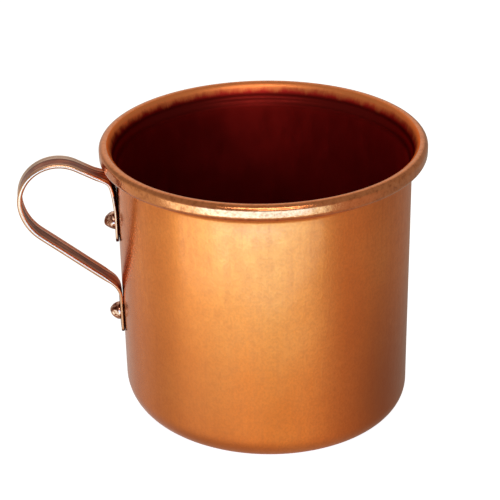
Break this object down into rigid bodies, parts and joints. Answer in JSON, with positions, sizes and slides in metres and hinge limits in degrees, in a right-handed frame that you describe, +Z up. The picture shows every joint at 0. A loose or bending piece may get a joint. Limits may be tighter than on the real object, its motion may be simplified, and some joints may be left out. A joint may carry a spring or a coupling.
{
  "type": "copper mug",
  "caption": "Straight-sided copper drinking mug with a rolled rim and a riveted strap handle.",
  "frame": {"origin": "centre of the mug's round base, on its underside and on the axis of the wall", "axes": "+Z up along the mug's axis out of the mouth, the handle stands out towards -X, Y across the handle"},
  "size_m": [0.1189, 0.0948, 0.0844],
  "materials": {
    "copper_shell": "satin lacquered copper",
    "copper_strap": "satin copper",
    "copper_rivet": "peened copper, darkened"
  },
  "bodies": {
    "root": {"mug_body": "copper_shell", "handle_strap": "copper_strap", "upper_rivet": "copper_rivet", "lower_rivet": "copper_rivet"}
  },
  "joints": []
}
